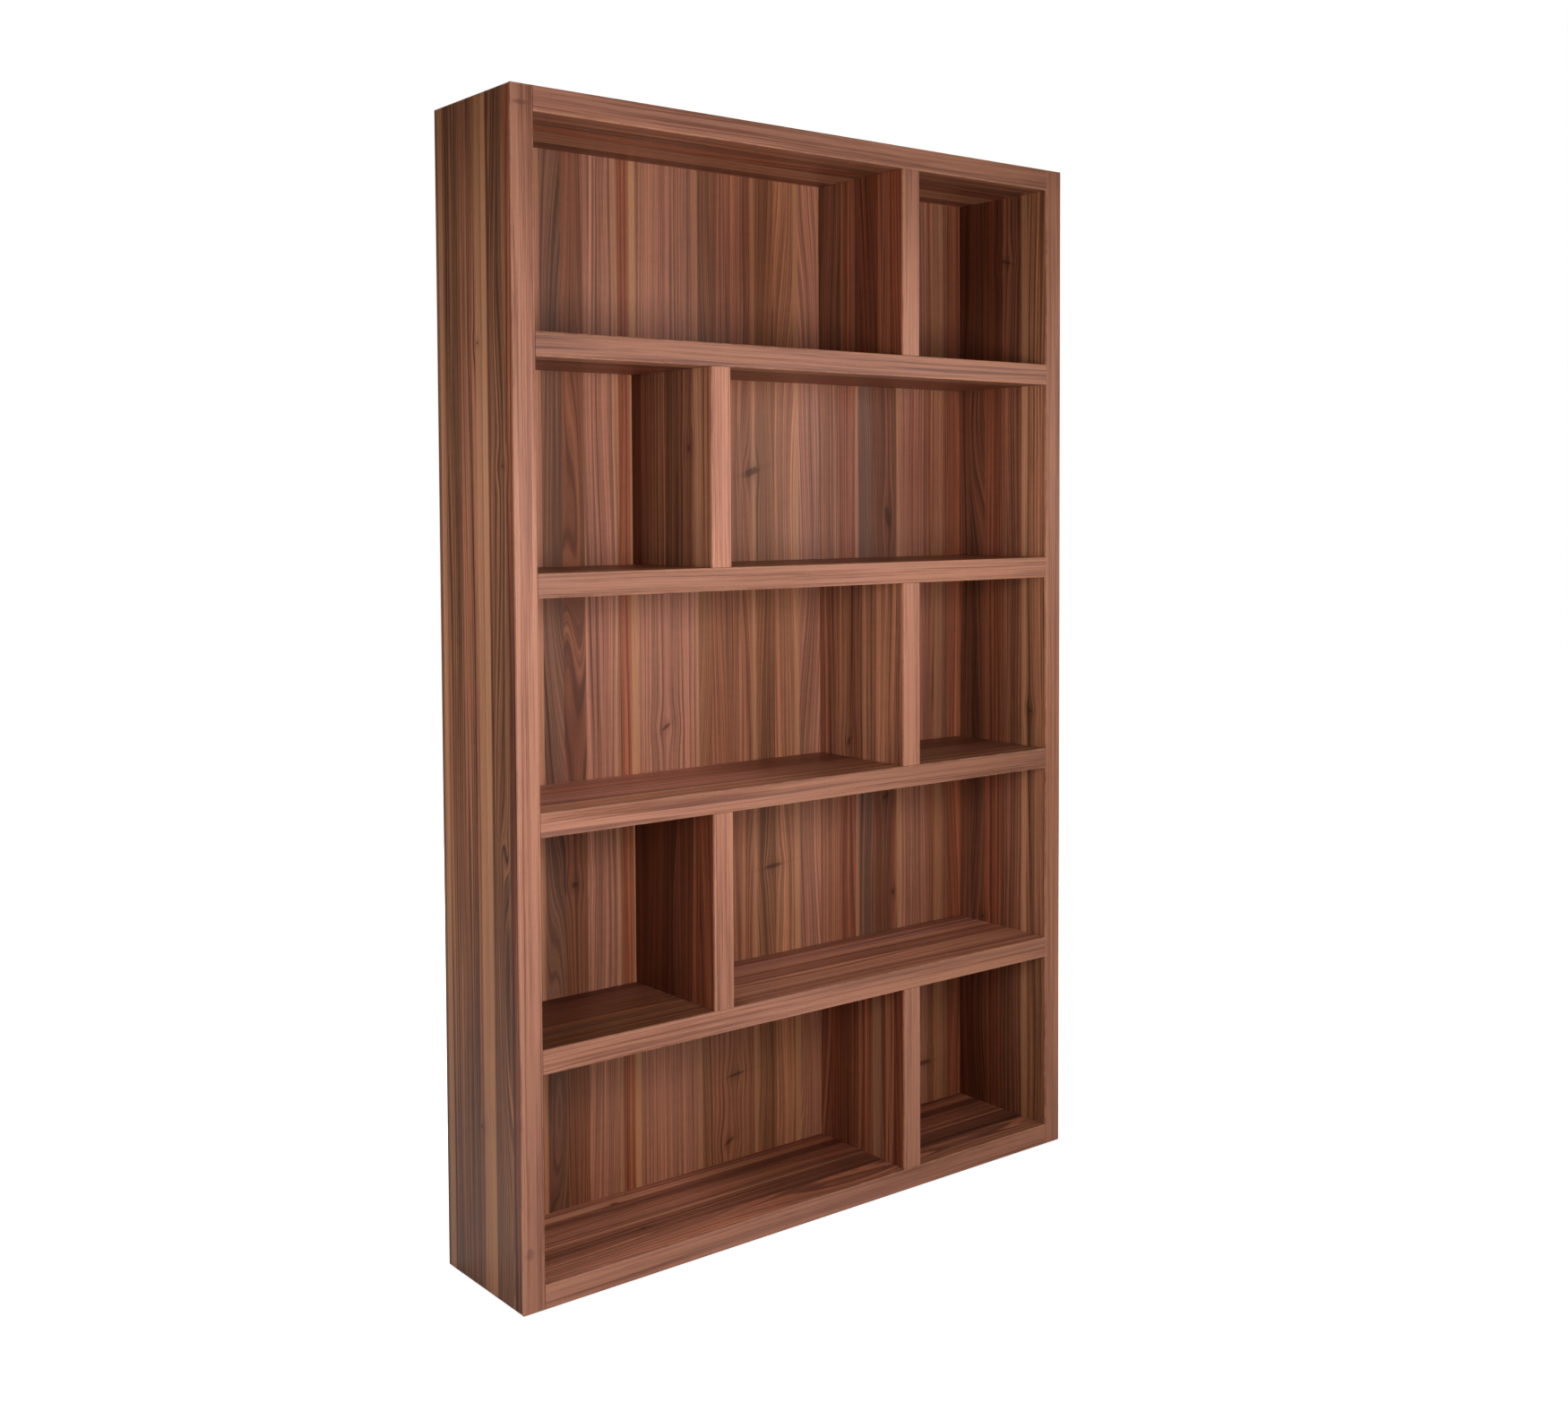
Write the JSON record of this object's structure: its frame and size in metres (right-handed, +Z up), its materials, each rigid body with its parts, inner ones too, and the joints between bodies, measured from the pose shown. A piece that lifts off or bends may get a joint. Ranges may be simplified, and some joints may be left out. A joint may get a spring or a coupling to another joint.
{
  "type": "open bookcase",
  "caption": "Tall open bookcase of thick veneered boards: level shelves fixed between full-height sides, each row split off centre by an upright divider, with a closed back.",
  "frame": {"origin": "on the floor, under the middle of the bookcase", "axes": "+X to the bookcase's right as seen from the front, +Y towards its back, +Z up; the front faces -Y"},
  "size_m": [1.4, 0.285, 2.2],
  "materials": {
    "walnut_veneer": "satin lacquered walnut veneer in strips of differing tone",
    "walnut_back": "satin lacquered walnut veneer, strips running upright",
    "walnut_lipping": "satin lacquered solid walnut, lighter and pinker than the veneer",
    "tongue_wood": "raw sawn beech",
    "glide_plastic": "moulded, dark brown"
  },
  "bodies": {
    "root": {"side_panel_left": "walnut_veneer", "side_panel_right": "walnut_veneer", "top_panel": "walnut_veneer", "bottom_panel": "walnut_veneer", "shelf_1": "walnut_veneer", "shelf_2": "walnut_veneer", "shelf_3": "walnut_veneer", "shelf_4": "walnut_veneer", "divider_1": "walnut_veneer", "divider_2": "walnut_veneer", "divider_3": "walnut_veneer", "divider_4": "walnut_veneer", "divider_5": "walnut_veneer", "back_panel": "walnut_back", "lipping_side_left": "walnut_lipping", "lipping_side_right": "walnut_lipping", "lipping_top_panel": "walnut_lipping", "lipping_bottom_panel": "walnut_lipping", "lipping_shelf_1": "walnut_lipping", "lipping_shelf_2": "walnut_lipping", "lipping_shelf_3": "walnut_lipping", "lipping_shelf_4": "walnut_lipping", "lipping_divider_1": "walnut_lipping", "lipping_divider_2": "walnut_lipping", "lipping_divider_3": "walnut_lipping", "lipping_divider_4": "walnut_lipping", "lipping_divider_5": "walnut_lipping", "tongue_bottom_panel_left": "tongue_wood", "tongue_bottom_panel_right": "tongue_wood", "tongue_shelf_1_left": "tongue_wood", "tongue_shelf_1_right": "tongue_wood", "tongue_shelf_2_left": "tongue_wood", "tongue_shelf_2_right": "tongue_wood", "tongue_shelf_3_left": "tongue_wood", "tongue_shelf_3_right": "tongue_wood", "tongue_shelf_4_left": "tongue_wood", "tongue_shelf_4_right": "tongue_wood", "tongue_top_panel_left": "tongue_wood", "tongue_top_panel_right": "tongue_wood", "tongue_divider_1_foot": "tongue_wood", "tongue_divider_1_head": "tongue_wood", "tongue_divider_2_foot": "tongue_wood", "tongue_divider_2_head": "tongue_wood", "tongue_divider_3_foot": "tongue_wood", "tongue_divider_3_head": "tongue_wood", "tongue_divider_4_foot": "tongue_wood", "tongue_divider_4_head": "tongue_wood", "tongue_divider_5_foot": "tongue_wood", "tongue_divider_5_head": "tongue_wood", "glide_left_front": "glide_plastic", "glide_left_rear": "glide_plastic", "glide_middle_front": "glide_plastic", "glide_middle_rear": "glide_plastic", "glide_right_front": "glide_plastic", "glide_right_rear": "glide_plastic"}
  },
  "joints": []
}
